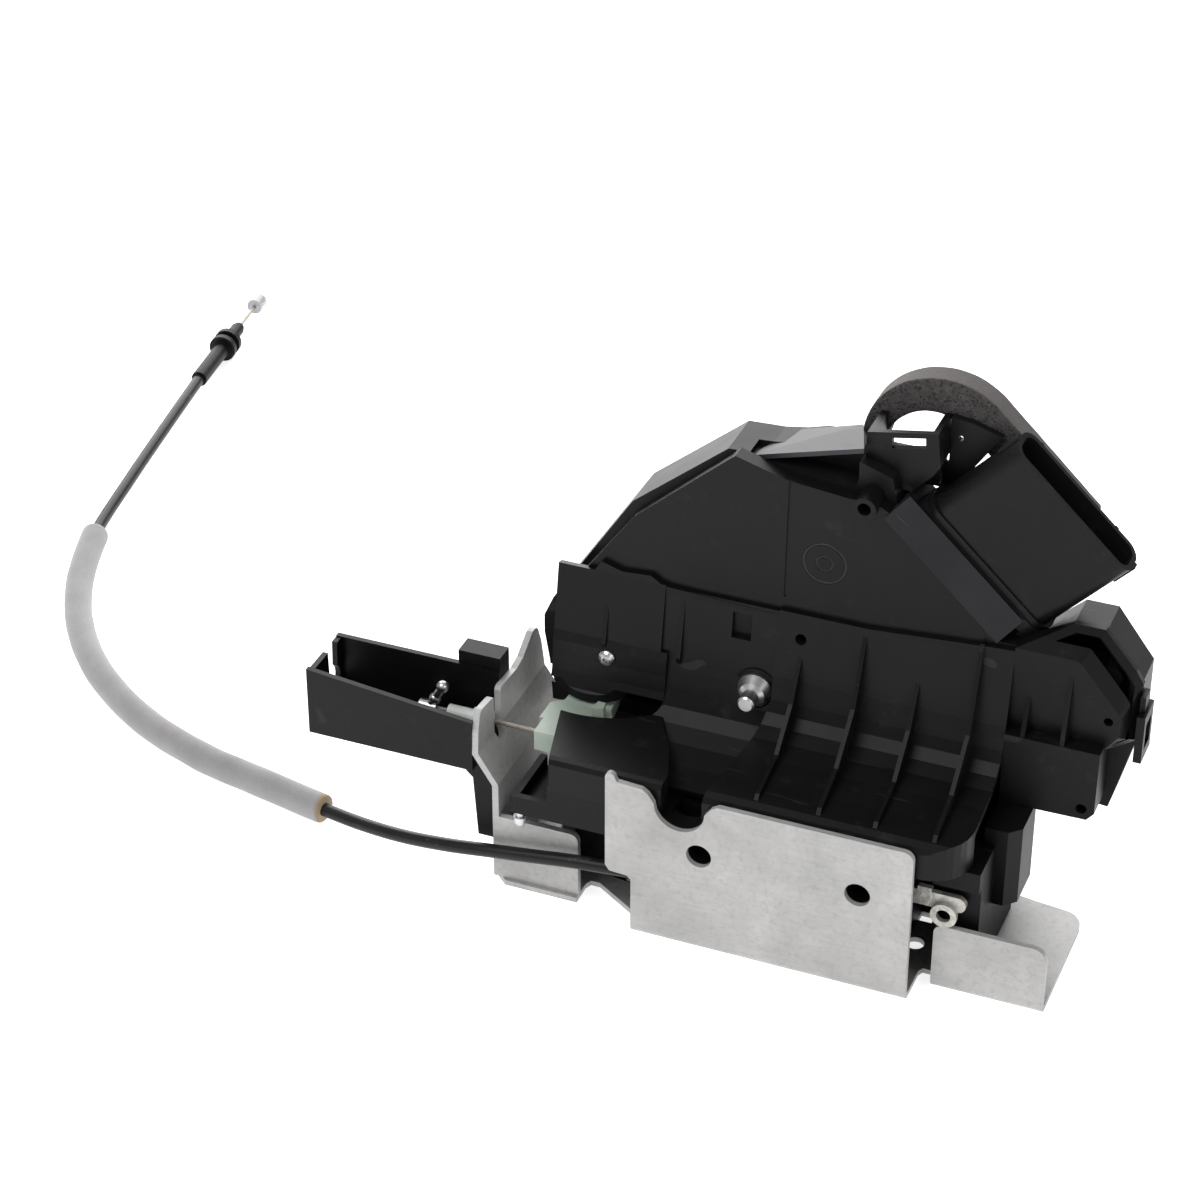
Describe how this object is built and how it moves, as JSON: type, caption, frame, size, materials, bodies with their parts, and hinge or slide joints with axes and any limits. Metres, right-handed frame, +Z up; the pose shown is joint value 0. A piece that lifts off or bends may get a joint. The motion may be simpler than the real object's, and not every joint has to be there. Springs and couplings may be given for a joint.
{
  "type": "tailgate latch",
  "caption": "Tailgate latch on a bent steel frame with a ribbed plastic cover, plug socket with foam gasket, catch and pawl, release lever with pull wire, and sheathed pull cable.",
  "frame": {"origin": "midway between the two bolt holes, on the front face of the frame plate", "axes": "+X along the front plate's lower edge to the right as seen from the front, +Y away from the front face into the lock, +Z up"},
  "size_m": [0.4878, 0.3594, 0.1926],
  "materials": {
    "zinc_steel": "zinc plated, satin",
    "black_plastic": "moulded, fine grain",
    "shell_plastic": "moulded, fine grain",
    "case_plastic": "moulded, fine grain",
    "socket_plastic": "moulded, smooth",
    "foam": "open-cell foam",
    "foam_sleeve": "closed-cell foam",
    "lever_plastic": "natural nylon",
    "natural_plastic": "natural nylon",
    "greased_zinc": "zinc casting, greased",
    "bright_steel": "bright",
    "dark_steel": "coated",
    "contact_metal": "tinned",
    "cable_sheath": "smooth",
    "wire_steel": "stranded",
    "board": "coated",
    "gear_plastic": "acetal"
  },
  "bodies": {
    "housing": {"frame_plate": "zinc_steel", "frame_base": "zinc_steel", "cable_bracket": "zinc_steel", "cable_channel": "case_plastic", "wire_guide": "natural_plastic", "front_cover": "black_plastic", "lever_shelf": "black_plastic", "lock_flare": "black_plastic", "rear_shell": "shell_plastic", "lock_case": "case_plastic", "top_clip": "black_plastic", "side_clip": "case_plastic", "socket_shroud": "socket_plastic", "socket_collar": "shell_plastic", "socket_blades": "contact_metal", "foam_gasket": "foam", "locating_stud": "bright_steel", "cover_screw": "bright_steel", "shell_screws": "bright_steel", "lever_pivot": "bright_steel", "catch_pivot": "bright_steel", "pawl_pivot": "bright_steel", "stop_pin": "bright_steel", "return_spring": "bright_steel", "drive_motor": "bright_steel", "drive_pinion": "gear_plastic", "drive_gear": "gear_plastic", "gear_pin": "bright_steel", "circuit_carrier": "board", "position_switches": "black_plastic", "cable_gland": "cable_sheath", "cable_casing": "cable_sheath", "cable_foam": "foam_sleeve", "cable_ferrule": "case_plastic", "cable_wire": "wire_steel", "cable_nipple": "natural_plastic"},
    "lever": {"release_lever": "lever_plastic"},
    "wire": {"pull_wire": "wire_steel", "wire_barrel": "bright_steel"},
    "catch": {"catch": "dark_steel"},
    "pawl": {"pawl": "bright_steel"},
    "link": {"link_slide": "greased_zinc", "link_ring": "greased_zinc"}
  },
  "joints": [
    {"name": "lever_hinge", "type": "hinge", "parent": "housing", "child": "lever", "pos_m": [-0.086, 0.07, 0.017], "axis": [0, 0, -1], "range_deg": [0, 12], "stiffness_Nm_per_rad": 0.02},
    {"name": "wire_slide", "type": "slide", "parent": "housing", "child": "wire", "axis": [-1, 0, 0], "range_m": [0, 0.009]},
    {"name": "catch_hinge", "type": "hinge", "parent": "housing", "child": "catch", "pos_m": [-0.02, 0.0129, -0.0285], "axis": [0, -1, 0], "range_deg": [0, 12]},
    {"name": "pawl_hinge", "type": "hinge", "parent": "housing", "child": "pawl", "pos_m": [0.02, 0.0129, -0.022], "axis": [0, -1, 0], "range_deg": [0, 20], "stiffness_Nm_per_rad": 0.02, "springref_deg": -17.19},
    {"name": "link_slide_joint", "type": "slide", "parent": "housing", "child": "link", "axis": [1, 0, 0], "range_m": [0, 0.005]}
  ],
  "couplings": [
    {"joint": "wire_slide", "follows": "lever_hinge", "m_per_rad": 0.0423},
    {"joint": "pawl_hinge", "follows": "catch_hinge", "ratio": 0.9}
  ]
}
